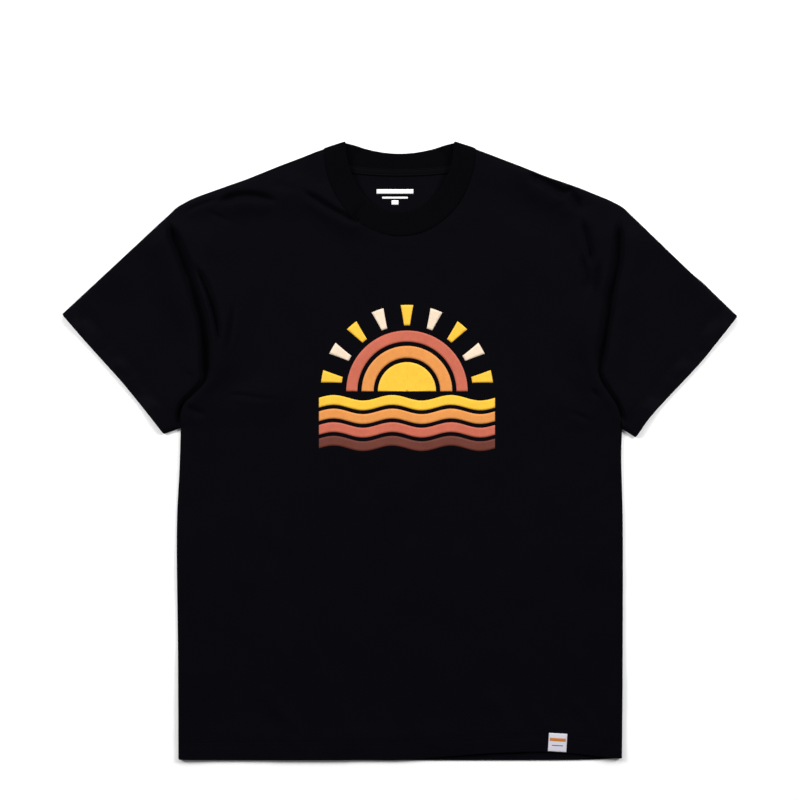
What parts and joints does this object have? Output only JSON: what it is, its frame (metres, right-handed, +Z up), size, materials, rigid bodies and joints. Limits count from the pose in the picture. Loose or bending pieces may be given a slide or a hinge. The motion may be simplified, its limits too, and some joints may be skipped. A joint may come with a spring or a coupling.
{
  "type": "t-shirt",
  "caption": "Short-sleeved crew-neck T-shirt in black cotton, lying flat with its front up and a coloured chest print; for a wardrobe, a shop shelf or a laundry scene.",
  "frame": {"origin": "under the middle of the flat shirt, on the surface that it lies on", "axes": "+X to the wearer's left (the right of the view from above), +Y to the collar, +Z up, out of the front of the shirt"},
  "size_m": [0.787, 0.7217, 0.0109],
  "materials": {
    "jersey": "heavy cotton jersey, piece-dyed blue-black, matt",
    "rib": "1 x 1 cotton rib, piece-dyed blue-black, matt",
    "neck_tape": "twill cotton tape, matt",
    "label": "woven satin label, pale grey, soft sheen",
    "ink_yellow": "screen-print ink, satin",
    "ink_orange": "screen-print ink, satin",
    "ink_salmon": "screen-print ink, satin",
    "ink_brown": "screen-print ink, satin",
    "ink_cream": "screen-print ink, satin"
  },
  "bodies": {
    "root": {"back_panel": "jersey", "front_panel": "jersey", "left_sleeve": "jersey", "right_sleeve": "jersey", "neck_rib": "rib", "neck_tape": "neck_tape", "hem_label": "label", "print_sun_core": "ink_yellow", "print_sun_ring_1": "ink_orange", "print_sun_ring_2": "ink_salmon", "print_wave_1": "ink_yellow", "print_wave_2": "ink_orange", "print_wave_3": "ink_salmon", "print_wave_4": "ink_brown", "print_ray_1": "ink_yellow", "print_ray_2": "ink_cream", "print_ray_3": "ink_yellow", "print_ray_4": "ink_cream", "print_ray_5": "ink_yellow", "print_ray_6": "ink_cream", "print_ray_7": "ink_yellow", "print_ray_8": "ink_cream", "print_ray_9": "ink_yellow"}
  },
  "joints": []
}
